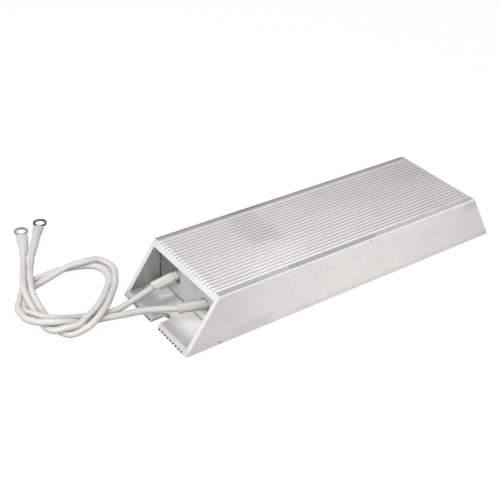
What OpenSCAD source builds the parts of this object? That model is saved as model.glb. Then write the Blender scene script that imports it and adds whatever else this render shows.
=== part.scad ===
// Braking resistor: two wirewound elements cemented in a ribbed aluminium housing whose ends slope
// back over open mounting notches, with two fibreglass leads tied in a loose knot.
// Millimetres. Origin at the middle of the housing's underside, +X along the housing away from the
// leads, -Y the front side, +Z up. "front" pieces lie at -Y and "rear" pieces at +Y.

/* [Housing] */
// Length of the housing along its base
housing_l = 215; // [195:1:280]
// Width of the housing
housing_w = 60; // [56:1:80]
// Height of the housing to the rib crests
housing_h = 29.6; // [28:0.1:40]
// How far each sloped end leans in between base and crest
end_lean = 18.94; // [14:0.02:19.8]
// Thickness of the two side walls
side_wall = 2.5; // [1.6:0.1:3.5]
// Thickness of the top wall, up to the rib crests
top_wall = 3.35; // [2.8:0.05:4.75]
// Thickness of the base wall
base_wall = 3.1; // [2.2:0.1:4]
// Width of the sloped strip along each long top edge
bevel_w = 4; // [2:0.1:5]
// Height that the sloped strip falls towards the side wall
bevel_drop = 0.2; // [0.1:0.1:1.5]

/* [Ribs] */
// Distance between neighbouring grooves, top and base alike. Top grooves lie between base grooves.
groove_pitch = 2.52; // [2:0.02:3.4]
// Least distance from the outermost base groove's middle to the sloped strip
groove_margin = 0.7; // [0.5:0.1:2.5]
// Width of a top groove at its mouth
top_groove_w = 1.3; // [0.9:0.05:1.6]
// Width of a top groove at its floor
top_groove_floor = 0.6; // [0.4:0.05:0.85]
// Depth of a top groove
top_groove_depth = 1.1; // [0.5:0.1:1.6]
// Width of a groove in the underside
base_groove_w = 0.9; // [0.5:0.05:1.4]
// Depth of a groove in the underside
base_groove_depth = 0.7; // [0.3:0.1:1.2]

/* [Mounting notches] */
// Width of the open notch in each end of the base
notch_w = 6.4; // [4.4:0.1:8.4]
// Depth of the notch from the end of the base to its round inner end
notch_l = 9.2; // [6:0.1:12]

/* [Closing plates] */
// Distance from the end of the base to a closing plate's outer face
plate_inset = 20.9; // [20:0.1:26]
// Thickness of a closing plate
plate_t = 2; // [1:0.1:3]
// Gap between a closing plate and the walls round it
plate_gap = 0.25; // [0.1:0.05:0.6]
// Diameter of each lead hole in the plate at the lead end
lead_hole_d = 6.5; // [6.1:0.1:7.5]

/* [Elements] */
// Thickness of the mica liner that wraps the filling
liner_t = 0.5; // [0.2:0.1:0.8]
// Distance from the liner to the side of a ceramic core
core_side_gap = 6; // [2:0.5:9]
// Outer diameter of a ceramic core
core_d = 16; // [12:0.5:16.5]
// Bore of a ceramic core
core_bore = 8; // [5:0.5:10]
// Distance from a closing plate's inner face to the end of a core
core_end_gap = 7; // [5:0.5:12]
// Diameter of the resistance wire
wire_d = 0.9; // [0.5:0.1:1.1]
// Distance between turns of the resistance wire
wire_pitch = 3; // [2:0.1:5]
// Thickness of the cement film that the turns sit in
film_t = 0.3; // [0.2:0.05:0.4]
// Thickness of the film under the turns
wire_bed = 0.05; // [0.02:0.01:0.1]
// Width of the metal band at each end of a winding
band_w = 6; // [4:0.5:9]
// Thickness of a band
band_t = 0.8; // [0.5:0.1:1]
// Distance from the end of a core to its band
band_margin = 2; // [1:0.5:4]
// Width of the strips welded to the bands
strip_w = 5; // [3:0.5:6]
// Thickness of the strips welded to the bands
strip_t = 1; // [0.5:0.1:1.2]
// Distance from the end of a core to the upright leg of a lug
lug_gap = 1.5; // [0.8:0.1:2.5]
// Diameter of the pin of a lug
pin_d = 2; // [1.4:0.1:2.2]
// How much wider than the pin its bend is
pin_bend = 0.2; // [0.1:0.05:0.3]
// Room that the filling leaves round what it holds
fill_fit = 0.15; // [0.05:0.05:0.25]

/* [Lead exits] */
// Diameter of the splice that joins a pin to its lead
splice_d = 3.6; // [3:0.1:3.8]
// Length of the splice
splice_l = 5.5; // [4:0.5:6.5]
// Room between the sleeve and the wider of splice and lead
sleeve_fit = 0.3; // [0.1:0.05:0.5]
// Wall of the sleeve over a splice
sleeve_wall = 0.65; // [0.4:0.05:0.8]
// Length of lead that lies inside its sleeve
lead_tuck = 5; // [3:0.5:5.5]

/* [Leads] */
// Outer diameter of a lead
lead_d = 3.4; // [2.8:0.1:3.5]

/* [Ring terminals] */
// Outer diameter of a terminal ring
ring_d = 8; // [7.6:0.1:8.6]
// Hole of a terminal ring
ring_hole_d = 5.3; // [4.3:0.1:5.5]
// Thickness of the terminal's sheet metal
ring_t = 0.8; // [0.6:0.05:0.9]
// Width of the terminal's tongue where it leaves the barrel
tongue_root_w = 2.6; // [2:0.1:2.8]
// Width of the terminal's tongue where it runs into the ring
tongue_w = 4.2; // [3.4:0.1:4.4]
// Diameter of the terminal's barrel
barrel_d = 4.1; // [3.9:0.1:4.5]
// Length of the terminal's barrel
barrel_l = 5; // [4.5:0.5:6]
// Distance from the barrel's front to the middle of the ring
neck_l = 7.5; // [7.2:0.1:8.5]
// Depth of the middle of the sheet below the barrel's axis
sheet_drop = 0.9; // [0.6:0.05:1]

/* [Terminal sleeves] */
// Wall of the white sleeve over a terminal
ring_sleeve_t = 0.4; // [0.3:0.05:0.5]
// Room between the sleeve and the lead
ring_sleeve_fit = 0.2; // [0.15:0.05:0.3]
// Length of tongue left bare between the sleeve and the ring's rim
ring_bare = 0.8; // [0.2:0.1:1]
// Width inside the sleeve's flattened end
flare_w = 6; // [5.8:0.1:6.6]
// Height inside the sleeve's flattened end
flare_h = 1.8; // [1.7:0.1:2.2]
// Length that stays round past the barrel before the sleeve flattens
nose_l = 0.6; // [0.5:0.1:1]

/* [Hidden] */
$fn = 64;

// Signs of the two sides in Y
front = -1;
rear = 1;

// How far a cut runs past the face it opens
over = 1;

// Cavity of the housing
cavity_w = housing_w - 2 * side_wall;
cavity_floor = base_wall;
cavity_roof = housing_h - top_wall;
cavity_h = cavity_roof - cavity_floor;
cavity_mid = (cavity_roof + cavity_floor) / 2;

// Outermost groove on each side, in pitches from the middle. The base has a groove in the middle and
// the top has a crest there.
base_last = floor((housing_w / 2 - bevel_w - groove_margin) / groove_pitch);
top_last = base_last - 0.5;

// Places along X, measured from the middle of the housing
base_end = housing_l / 2;
plate_out = base_end - plate_inset;
plate_in = plate_out - plate_t;
core_end = plate_in - core_end_gap;
band_out = core_end - band_margin;
winding_end = band_out - band_w;
leg_in = core_end + lug_gap;
leg_out = leg_in + strip_t;

// Distance of a core's axis from the middle, and radii round it
core_y = cavity_w / 2 - liner_t - core_side_gap - core_d / 2;
core_r = core_d / 2;
film_r = core_r + film_t;
winding_r = core_r + wire_bed + wire_d;
band_r = core_r + band_t;
strip_low = band_r + fill_fit / 2;
strip_high = strip_low + strip_t;
socket_r = max(winding_r, band_r) + fill_fit;
turns = floor((2 * winding_end - wire_d) / wire_pitch);

// Sleeve over a splice
sleeve_bore = max(splice_d, lead_d) + sleeve_fit;
sleeve_d = sleeve_bore + 2 * sleeve_wall;

// Where each sleeve meets the closing plate, as [y, z] from the axis of its core: front, then rear
root_offsets = [[-2, 0], [-1.5, 1.5]];

// Room round a terminal's barrel, and the height of its axis over that of a lead on the floor
barrel_fit = ring_sleeve_fit / 2;
barrel_lift = (barrel_d - lead_d) / 2 + barrel_fit + ring_sleeve_t;

// Lead routes from the mouths of their sleeves to the terminals, tied in an overhand knot. X counts from
// the base edge at the lead end, and Z from the axis of a lead that lies on the floor.
front_route = [
    [9, -8.5, 11], [3, -4.5, 10.5], [-2, 0.5, 8.7], [-6, 6, 5.5], [-10, 11.5, 1.9],
    [-15, 15, 0.2], [-22, 17, 0], [-29.5, 18, 0.3], [-37, 18.5, 3.6], [-44.5, 20.5, 5.3],
    [-50.5, 25.5, 4.5], [-53.5, 32, 3.3], [-54, 39, 1.9], [-53, 45.5, 0.9], [-48.5, 53, 0.1],
    [-43.5, 59, 0], [-37, 63.5, 0], [-27, 65.1, 0], [-15.3, 65.1, 0], [-7.8, 62.6, 0],
    [-1.8, 58.7, 0], [0.5, 52, 0], [-1.5, 43.5, 0.5], [-6.5, 36.5, 1.5], [-12.5, 29, 2.9],
    [-19.5, 22.5, 3.6], [-27, 18, 3.7], [-34.5, 14.5, 3.7], [-41, 15.2, 3.95], [-45.2, 17.7, 2.5],
    [-47, 22.2, 0.9], [-46.8, 28.6, 0], [-46.5, 35.5, 0.3], [-46.5, 43, 2.5], [-45.5, 51, 3.6],
    [-43, 59, 3.8], [-39, 68, 2.5], [-34.5, 78, 0.7], [-29.7, 88.5, 0.6], [-27, 94, barrel_lift],
    [-25, 99.5, barrel_lift]
];
rear_route = [
    [10, 15.5, 9.1], [2.5, 16.5, 5.9], [-4, 17.5, 3], [-10.5, 18.5, 0.4], [-17.5, 19.6, 0],
    [-26, 22.5, 0], [-34.2, 24, 1.3], [-40.2, 24.4, 3.2], [-45.5, 27.6, 3.9], [-49, 34, 3.6],
    [-50.5, 40, 1.4], [-48.5, 45.5, 0.1], [-45.5, 50.5, 0], [-39, 58, 0], [-29.5, 61, 0.5],
    [-22.5, 61.5, 2.1], [-16.5, 61.9, 3.3], [-10.6, 61.4, 3.7], [-4, 61.8, 3.3], [1.8, 61.9, 1.8],
    [5.5, 58.9, 0.4], [6.5, 53.2, 0], [3.5, 45.5, 0.3], [-1.5, 37, 1.3], [-7.5, 29.5, 2.7],
    [-14, 22, 3.6], [-22, 15.5, 3.6], [-29.5, 12, 2.3], [-35.4, 12.1, 0.6], [-39.6, 13.3, 0.1],
    [-42.2, 16.8, 0], [-43, 22, 0], [-42.8, 29.2, 0], [-43, 36.5, 0.3], [-43, 43, 2.1],
    [-42, 50.5, 3.6], [-39, 59, 3.8], [-35.5, 67.5, 3.4], [-30.5, 77.5, 0.9], [-25, 87.5, 0.6],
    [-19, 96.5, barrel_lift], [-14.5, 103.5, barrel_lift]
];
lead_sides = 8;

// Route points that each white terminal sleeve covers: front, then rear
sleeve_covers = [3, 3];
ring_sleeve_sides = 16;

// Colours
aluminium = [0.83, 0.84, 0.85];
mica = [0.76, 0.77, 0.78];
cement = [0.80, 0.78, 0.74];
ceramic = [0.92, 0.90, 0.86];
nichrome = [0.45, 0.44, 0.43];
steel = [0.62, 0.62, 0.62];
tin = [0.60, 0.60, 0.61];
fibreglass = [0.93, 0.93, 0.90];

// Lead exits and routes

function unit(v) = v / norm(v);

function pick(side, pair) = side == front ? pair[0] : pair[1];

function route(side) = [
    for (p = pick(side, [front_route, rear_route]))
        [p[0] - base_end, p[1], p[2] + lead_d / 2]
];

function root(side) =
    let (offset = pick(side, root_offsets))
    [-plate_out, side * core_y + offset[0], cavity_mid + offset[1]];

function mouth(side) = route(side)[0];

function exit_axis(side) = unit(mouth(side) - root(side));

function lead_start(side) = mouth(side) - lead_tuck * exit_axis(side);

function splice_start(side) = lead_start(side) - splice_l * exit_axis(side);

function elbow(side) = root(side) - pin_d / 2 * exit_axis(side);

function route_end(side) =
    let (r = route(side))
    r[len(r) - 1];

function heading(side) =
    let (r = route(side))
    unit(r[len(r) - 1] - r[len(r) - 2]);

// Swept tubes

function tangent(p, i) =
    let (from = max(i, 1))
    let (to = min(i + 1, len(p) - 1))
    unit(unit(p[from] - p[from - 1]) + unit(p[to] - p[to - 1]));

function across(t) = unit(cross([0, 0, 1], t));

function section(c, t, half_w, half_h, sides) = [
    for (k = [0 : sides - 1])
        let (a = 360 * k / sides)
        c + half_w * cos(a) * across(t) + half_h * sin(a) * cross(t, across(t))
];

function skin(rings, sides, first) = [
    for (i = [0 : rings - 2], k = [0 : sides - 1])
        let (a = first + i * sides + k)
        let (b = first + i * sides + (k + 1) % sides)
        each [[a, a + sides, b], [b, a + sides, b + sides]]
];

function flipped(faces) = [for (f = faces) [f[2], f[1], f[0]]];

// Solid cord along a path
module cord(path, d, sides) {
    rings = len(path);
    last = (rings - 1) * sides;
    points = [
        for (i = [0 : rings - 1])
            each section(path[i], tangent(path, i), d / 2, d / 2, sides)
    ];
    start_cap = [[for (k = [0 : sides - 1]) k]];
    end_cap = [[for (k = [sides - 1 : -1 : 0]) last + k]];
    polyhedron(points, concat(skin(rings, sides, 0), start_cap, end_cap));
}

// Hollow sleeve along a path. Each station of outer and inner is a [half width, half height].
module hollow_sleeve(path, outer, inner, sides) {
    rings = len(path);
    count = rings * sides;
    last = (rings - 1) * sides;
    points = [
        for (shell = [outer, inner], i = [0 : rings - 1])
            each section(path[i], tangent(path, i), shell[i][0], shell[i][1], sides)
    ];
    rims = [
        for (k = [0 : sides - 1])
            let (n = (k + 1) % sides)
            each [
                [k, n, count + k], [n, count + n, count + k],
                [last + n, last + k, count + last + k], [last + n, count + last + k, count + last + n]
            ]
    ];
    walls = concat(skin(rings, sides, 0), flipped(skin(rings, sides, count)));
    polyhedron(points, concat(walls, rims));
}

// Straight round bar from one point to another
module bar(from, to, d) {
    v = to - from;
    translate(from)
        rotate([0, acos(v[2] / norm(v)), atan2(v[1], v[0])])
            cylinder(d = d, h = norm(v));
}

// Block given by its lowest and highest corners
module block(low, high) {
    translate(low)
        cube(high - low);
}

// Housing

module groove_row(last, mouth_w, floor_w, depth) {
    for (i = [-last : last])
        translate([i * groove_pitch, 0])
            polygon([
                [-mouth_w / 2, over], [-mouth_w / 2, 0], [-floor_w / 2, -depth],
                [floor_w / 2, -depth], [mouth_w / 2, 0], [mouth_w / 2, over]
            ]);
}

module housing_profile() {
    half = housing_w / 2;
    difference() {
        polygon([
            [-half, 0], [half, 0], [half, housing_h - bevel_drop], [half - bevel_w, housing_h],
            [bevel_w - half, housing_h], [-half, housing_h - bevel_drop]
        ]);
        translate([-cavity_w / 2, cavity_floor])
            square([cavity_w, cavity_h]);
        translate([0, housing_h])
            groove_row(top_last, top_groove_w, top_groove_floor, top_groove_depth);
        mirror([0, 1])
            groove_row(base_last, base_groove_w, base_groove_w, base_groove_depth);
    }
}

// Open notch in the base, round at its inner end
module notch() {
    middle = base_end - notch_l + notch_w / 2;
    translate([middle, 0, -over])
        cylinder(d = notch_w, h = base_wall + 2 * over);
    block([middle, -notch_w / 2, -over], [base_end + over, notch_w / 2, base_wall + over]);
}

module housing() {
    top_end = base_end - end_lean;
    color(aluminium)
        difference() {
            intersection() {
                rotate([90, 0, 90])
                    linear_extrude(housing_l, center = true)
                        housing_profile();
                rotate([90, 0, 0])
                    linear_extrude(housing_w + 2 * over, center = true)
                        polygon([
                            [-base_end, 0], [base_end, 0],
                            [top_end, housing_h], [-top_end, housing_h]
                        ]);
            }
            notch();
            mirror([1, 0, 0])
                notch();
        }
}

// Filling and its insulation

module mica_liner() {
    low = [-plate_in, -cavity_w / 2, cavity_floor];
    high = [plate_in, cavity_w / 2, cavity_roof];
    color(mica)
        difference() {
            block(low, high);
            block(low + [-over, liner_t, liner_t], high + [over, -liner_t, -liner_t]);
        }
}

// Room for a wound core, with the plug of filling that stays inside the core's bore
module core_socket(side) {
    on_core(side, -core_end)
        difference() {
            cylinder(r = socket_r, h = 2 * core_end);
            translate([0, 0, -over])
                cylinder(d = core_bore - 2 * fill_fit, h = 2 * (core_end + over));
        }
}

module filler() {
    low = [-plate_in, liner_t - cavity_w / 2, cavity_floor + liner_t];
    high = [plate_in, cavity_w / 2 - liner_t, cavity_roof - liner_t];
    color(cement)
        difference() {
            block(low, high);
            for (side = [front, rear]) {
                core_socket(side);
                lug_shape(side, fill_fit);
            }
            strap_shape(fill_fit);
        }
}

module closing_plate() {
    low = [plate_in, plate_gap - cavity_w / 2, cavity_floor + plate_gap];
    high = [plate_out, cavity_w / 2 - plate_gap, cavity_roof - plate_gap];
    block(low, high);
}

module lead_end_plate() {
    color(mica)
        difference() {
            mirror([1, 0, 0])
                closing_plate();
            for (side = [front, rear])
                translate([-plate_out - over, root(side)[1], cavity_mid])
                    rotate([0, 90, 0])
                        cylinder(d = lead_hole_d, h = plate_t + 2 * over);
        }
}

module far_end_plate() {
    color(mica)
        closing_plate();
}

// Wound elements

module on_core(side, x) {
    translate([x, side * core_y, cavity_mid])
        rotate([0, 90, 0])
            children();
}

module core(side) {
    color(ceramic)
        on_core(side, -core_end)
            difference() {
                cylinder(r = core_r, h = 2 * core_end);
                translate([0, 0, -over])
                    cylinder(d = core_bore, h = 2 * (core_end + over));
            }
}

// Turns of wire bedded in a thin film of cement, as one profile turned about the core
module winding(side) {
    first_turn = -(turns - 1) * wire_pitch / 2;
    turn = [
        [film_r, -wire_d / 2],
        [winding_r, -wire_d / 4],
        [winding_r, wire_d / 4],
        [film_r, wire_d / 2]
    ];
    profile = concat(
        [[core_r, -winding_end], [film_r, -winding_end]],
        [for (i = [0 : turns - 1]) for (p = turn) [p[0], p[1] + first_turn + i * wire_pitch]],
        [[film_r, winding_end], [core_r, winding_end]]
    );
    color(nichrome)
        on_core(side, 0)
            rotate_extrude()
                polygon(profile);
}

module band(side, x) {
    color(steel)
        on_core(side, x)
            difference() {
                cylinder(r = band_r, h = band_w);
                translate([0, 0, -over])
                    cylinder(r = core_r, h = band_w + 2 * over);
            }
}

// Strip across the far bands that puts the two windings in series
module strap_shape(grow) {
    reach = core_y + strip_w / 2 + grow;
    middle = band_out - band_w / 2;
    half = strip_w / 2 + grow;
    low = [middle - half, -reach, cavity_mid + strip_low - grow];
    high = [middle + half, reach, cavity_mid + strip_high + grow];
    block(low, high);
}

module link_strap() {
    color(steel)
        strap_shape(0);
}

// Strip on a lead-end band, folded down past the core, with the pin that goes out through the plate
module lug_shape(side, grow) {
    y = side * core_y;
    half = strip_w / 2 + grow;
    tail = winding_end + strip_t - grow;
    top = cavity_mid + strip_high + grow;
    foot = cavity_mid - pin_d - grow;
    pin_root = [-leg_in - strip_t / 2, y, cavity_mid];
    bar_d = pin_d + 2 * grow;
    block([-leg_out - grow, y - half, cavity_mid + strip_low - grow], [-tail, y + half, top]);
    block([-leg_out - grow, y - half, foot], [grow - leg_in, y + half, top]);
    bar(pin_root, elbow(side), bar_d);
    translate(elbow(side))
        sphere(d = bar_d + pin_bend);
    bar(elbow(side), splice_start(side), bar_d);
}

module terminal_lug(side) {
    color(steel)
        lug_shape(side, 0);
}

// Lead exits

module splice(side) {
    color(tin)
        bar(splice_start(side), lead_start(side), splice_d);
}

// Sleeve over a splice, cut flush with the closing plate
module splice_sleeve(side) {
    behind = root(side) - sleeve_d * exit_axis(side);
    inside = 2 * sleeve_d - plate_out;
    color(fibreglass)
        difference() {
            bar(behind, mouth(side), sleeve_d);
            bar(behind - over * exit_axis(side), mouth(side) + over * exit_axis(side), sleeve_bore);
            block([-plate_out, -housing_w, -housing_h], [inside, housing_w, 2 * housing_h]);
        }
}

// Leads and their terminals

module lead(side) {
    color(fibreglass)
        cord(concat([lead_start(side)], route(side)), lead_d, lead_sides);
}

module ring_terminal(side) {
    h = heading(side);
    ring_x = barrel_l + neck_l;
    tongue_x = ring_x - ring_hole_d / 2;
    color(tin)
        translate(route_end(side))
            rotate([0, 0, atan2(h[1], h[0])]) {
                rotate([0, 90, 0])
                    cylinder(d = barrel_d, h = barrel_l);
                translate([0, 0, -sheet_drop - ring_t / 2])
                    linear_extrude(ring_t)
                        difference() {
                            union() {
                                translate([ring_x, 0])
                                    circle(d = ring_d);
                                polygon([
                                    [barrel_l / 2, -tongue_root_w / 2], [barrel_l, -tongue_root_w / 2],
                                    [tongue_x, -tongue_w / 2], [tongue_x, tongue_w / 2],
                                    [barrel_l, tongue_root_w / 2], [barrel_l / 2, tongue_root_w / 2]
                                ]);
                            }
                            translate([ring_x, 0])
                                circle(d = ring_hole_d);
                        }
            }
}

// Sleeve over the end of a lead and the terminal's barrel, flattened where the ring leaves it
module ring_sleeve(side) {
    r = route(side);
    n = len(r);
    cover = pick(side, sleeve_covers);
    reach = barrel_l + neck_l - ring_d / 2 - ring_bare;
    nose = route_end(side) + (barrel_l + nose_l) * heading(side);
    flare = route_end(side) + reach * heading(side) - [0, 0, sheet_drop];
    lead_in = [for (i = [n - cover : n - 1]) r[i]];
    path = concat(lead_in, [nose, flare]);
    lead_half = lead_d / 2 + ring_sleeve_fit;
    barrel_half = barrel_d / 2 + barrel_fit;
    on_lead = [for (i = [2 : cover]) [lead_half, lead_half]];
    on_barrel = [for (i = [0, 1]) [barrel_half, barrel_half]];
    inner = concat(on_lead, on_barrel, [[flare_w / 2, flare_h / 2]]);
    outer = [for (s = inner) s + [ring_sleeve_t, ring_sleeve_t]];
    color(fibreglass)
        hollow_sleeve(path, outer, inner, ring_sleeve_sides);
}

housing();
mica_liner();
filler();
lead_end_plate();
far_end_plate();
core(front);  // core_front
core(rear);  // core_rear
winding(front);  // winding_front
winding(rear);  // winding_rear
band(front, -band_out);  // lead_band_front
band(rear, -band_out);  // lead_band_rear
band(front, winding_end);  // far_band_front
band(rear, winding_end);  // far_band_rear
link_strap();
terminal_lug(front);  // terminal_lug_front
terminal_lug(rear);  // terminal_lug_rear
splice(front);  // splice_front
splice(rear);  // splice_rear
splice_sleeve(front);  // splice_sleeve_front
splice_sleeve(rear);  // splice_sleeve_rear
lead(front);  // lead_front
lead(rear);  // lead_rear
ring_sleeve(front);  // ring_sleeve_front
ring_sleeve(rear);  // ring_sleeve_rear
ring_terminal(front);  // ring_terminal_front
ring_terminal(rear);  // ring_terminal_rear
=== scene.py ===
import math
import bpy
from mathutils import Matrix, Vector, noise


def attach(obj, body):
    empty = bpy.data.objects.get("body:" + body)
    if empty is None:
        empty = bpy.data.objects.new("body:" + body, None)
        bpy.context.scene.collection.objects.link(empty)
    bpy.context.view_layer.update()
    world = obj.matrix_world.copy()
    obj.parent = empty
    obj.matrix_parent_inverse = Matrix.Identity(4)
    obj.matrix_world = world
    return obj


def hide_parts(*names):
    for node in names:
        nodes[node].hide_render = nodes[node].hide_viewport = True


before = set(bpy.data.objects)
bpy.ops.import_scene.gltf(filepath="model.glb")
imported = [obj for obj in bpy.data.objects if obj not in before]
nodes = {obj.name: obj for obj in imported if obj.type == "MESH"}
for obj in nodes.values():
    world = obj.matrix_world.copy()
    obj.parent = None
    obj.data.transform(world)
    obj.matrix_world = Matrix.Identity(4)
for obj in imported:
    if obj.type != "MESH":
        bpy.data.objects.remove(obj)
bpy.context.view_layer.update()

scene = bpy.context.scene
mm = 0.001
print("frame loaded:", len(nodes), "nodes")

# camera, set by the photograph's own perspective
view = {
    "place": Vector((-0.2984, -0.3173, 0.2963)),
    "right": Vector((0.8077, -0.5869, 0.0560)),
    "up": Vector((0.2905, 0.4789, 0.8284)),
    "lens": 67.09,
    "sensor": 36.0,
}


def addCamera():
    data = bpy.data.cameras.new("photoCamera")
    data.lens = view["lens"]
    data.sensor_width = view["sensor"]
    data.sensor_fit = "HORIZONTAL"
    camera = bpy.data.objects.new("photoCamera", data)
    back = view["right"].cross(view["up"])
    turn = Matrix((view["right"], view["up"], back)).transposed().to_4x4()
    camera.matrix_world = Matrix.Translation(view["place"]) @ turn
    scene.collection.objects.link(camera)
    scene.camera = camera


addCamera()
print("camera set")


# shader sockets as numbers: sums and products of them add Math nodes
class Wire:
    def __init__(self, finish, socket):
        self.finish = finish
        self.socket = socket

    def math(self, operation, first, second):
        return self.finish.node("ShaderNodeMath", {"operation": operation}, {0: first, 1: second})

    def __add__(self, other):
        return self.math("ADD", self, other)

    def __radd__(self, other):
        return self.math("ADD", other, self)

    def __sub__(self, other):
        return self.math("SUBTRACT", self, other)

    def __rsub__(self, other):
        return self.math("SUBTRACT", other, self)

    def __mul__(self, other):
        return self.math("MULTIPLY", self, other)

    def __rmul__(self, other):
        return self.math("MULTIPLY", other, self)

    def __abs__(self):
        return self.math("ABSOLUTE", self, 0.0)


class Finish:
    def __init__(self, name, constants):
        self.material = bpy.data.materials.new(name)
        self.material.use_nodes = True
        self.tree = self.material.node_tree
        self.shader = self.tree.nodes["Principled BSDF"]
        for socket, value in constants.items():
            self.shader.inputs[socket].default_value = value

    # any node: its type, its settings, what its sockets take, and which output is used
    def node(self, kind, settings, sockets, out=0):
        made = self.tree.nodes.new(kind)
        for name, value in settings.items():
            setattr(made, name, value)
        for key, value in sockets.items():
            self.feed(made.inputs[key], value)
        return Wire(self, made.outputs[out])

    def feed(self, socket, value):
        if isinstance(value, Wire):
            self.tree.links.new(value.socket, socket)
        else:
            socket.default_value = value

    def place(self):
        return self.node("ShaderNodeTexCoord", {}, {}, "Object")

    def facing(self):
        return self.node("ShaderNodeTexCoord", {}, {}, "Normal")

    def around(self):
        return self.node("ShaderNodeTexCoord", {}, {}, "UV")

    def split(self, vector):
        part = self.tree.nodes.new("ShaderNodeSeparateXYZ")
        self.feed(part.inputs[0], vector)
        return [Wire(self, socket) for socket in part.outputs]

    def stretched(self, vector, factors):
        return self.node("ShaderNodeVectorMath", {"operation": "MULTIPLY"}, {0: vector, 1: factors})

    def cloud(self, vector, scale, detail=3.0, rough=0.5):
        sockets = {"Vector": vector, "Scale": scale, "Detail": detail, "Roughness": rough}
        return self.node("ShaderNodeTexNoise", {}, sockets)

    # 0 below low, 1 above high, and soft between
    def rise(self, value, low, high):
        settings = {"interpolation_type": "SMOOTHSTEP"}
        return self.node("ShaderNodeMapRange", settings, {"Value": value, "From Min": low, "From Max": high})

    # 1 below low, 0 above high
    def fall(self, value, low, high):
        return 1 - self.rise(value, low, high)

    # as rise, up to a share below 1
    def share(self, value, low, high, most):
        return self.rise(value, low, high) * most

    # 1 within a half width of the middle, 0 outside, with a soft edge
    def near(self, value, middle, half, soft):
        return self.fall(abs(value - middle), half, half + soft)

    def wave(self, value):
        return self.node("ShaderNodeMath", {"operation": "SINE"}, {0: value})

    def larger(self, first, second):
        return self.node("ShaderNodeMath", {"operation": "MAXIMUM"}, {0: first, 1: second})

    # colours go in at the Mix node's sockets 6 and 7 and come out at 2
    def blend(self, factor, first, second):
        settings = {"data_type": "RGBA"}
        first = first if isinstance(first, Wire) else (*first, 1)
        second = second if isinstance(second, Wire) else (*second, 1)
        return self.node("ShaderNodeMix", settings, {0: factor, 6: first, 7: second}, 2)

    def bump(self, height, strength, distance):
        sockets = {"Height": height, "Strength": strength, "Distance": distance}
        self.feed(self.shader.inputs["Normal"], self.node("ShaderNodeBump", {}, sockets))

    def colour(self, value):
        self.feed(self.shader.inputs["Base Color"], value)

    def roughness(self, value):
        self.feed(self.shader.inputs["Roughness"], value)


# mesh from rings of points; a shell is joined from its last ring back to its first
def loft(name, rings, shell=False):
    sides = len(rings[0])
    count = len(rings)
    points = [point for ring in rings for point in ring]
    faces = []
    spans = count if shell else count - 1
    for i in range(spans):
        for k in range(sides):
            here, there = i * sides, (i + 1) % count * sides
            faces.append((here + k, here + (k + 1) % sides, there + (k + 1) % sides, there + k))
    if not shell:
        faces.append(tuple(reversed(range(sides))))
        faces.append(tuple(range((count - 1) * sides, count * sides)))
    mesh = bpy.data.meshes.new(name)
    mesh.from_pydata(points, [], faces)
    lengths = [0.0]
    for i in range(1, count):
        step = (sum(rings[i], Vector()) - sum(rings[i - 1], Vector())) / sides
        lengths.append(lengths[-1] + step.length)
    layer = mesh.uv_layers.new(name="around")
    for face in mesh.polygons[:spans * sides]:
        i, k = divmod(face.index, sides)
        far = lengths[i + 1] if i + 1 < count else lengths[i]
        corners = ((lengths[i], k), (lengths[i], k + 1), (far, k + 1), (far, k))
        for loop, (along, turn) in zip(face.loop_indices, corners):
            layer.data[loop].uv = (along / mm, turn / sides)
    for face in mesh.polygons:
        face.use_smooth = len(face.vertices) == 4
    mesh.update()
    piece = bpy.data.objects.new(name, mesh)
    scene.collection.objects.link(piece)
    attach(piece, "root")
    return piece


# one smooth line through the points, with a sample about every step
# its knots grow with the square root of the distance, which keeps short spans free of loops
def smoothLine(points, step):
    first = 2 * points[0] - points[1]
    last = 2 * points[-1] - points[-2]
    padded = [first] + points + [last]
    line = []
    for a, b, c, d in zip(padded, padded[1:], padded[2:], padded[3:]):
        spans = max(2, round((c - b).length / step))
        knots = [0.0]
        for p, q in ((a, b), (b, c), (c, d)):
            knots.append(knots[-1] + (q - p).length ** 0.5)
        for i in range(spans):
            line.append(knotPoint((a, b, c, d), knots, knots[1] + (knots[2] - knots[1]) * i / spans))
    line.append(points[-1])
    return line


def knotPoint(p, k, t):
    def between(a, b, ka, kb):
        return a * ((kb - t) / (kb - ka)) + b * ((t - ka) / (kb - ka))
    a, b, c = (between(p[i], p[i + 1], k[i], k[i + 1]) for i in range(3))
    d, e = between(a, b, k[0], k[2]), between(b, c, k[1], k[3])
    return between(d, e, k[1], k[2])


def lengthOf(line):
    return sum((b - a).length for a, b in zip(line, line[1:]))


# directions across a line: level to the left, and up
def lineFrames(line):
    frames = []
    for i in range(len(line)):
        ahead = (line[min(i + 1, len(line) - 1)] - line[max(i - 1, 0)]).normalized()
        left = Vector((0, 0, 1)).cross(ahead).normalized()
        frames.append((left, ahead.cross(left)))
    return frames


def ringAt(point, side, up, halfW, halfH, sides):
    turns = [2 * math.pi * k / sides for k in range(sides)]
    return [point + side * (halfW * math.cos(a)) + up * (halfH * math.sin(a)) for a in turns]


# from 0 to 1, slow at both ends
def easeBetween(t):
    t = min(max(t, 0.0), 1.0)
    return t * t * (3 - 2 * t)


# from 0 to 1, slow at the far end
def quickDrop(t):
    t = min(max(t, 0.0), 1.0)
    return t * (2 - t)


# value at a place along, between the pairs of a list
def valueAt(pairs, place):
    for (a, low), (b, high) in zip(pairs, pairs[1:]):
        if place <= b:
            return low + (high - low) * easeBetween((place - a) / (b - a))
    return pairs[-1][1]


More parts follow.
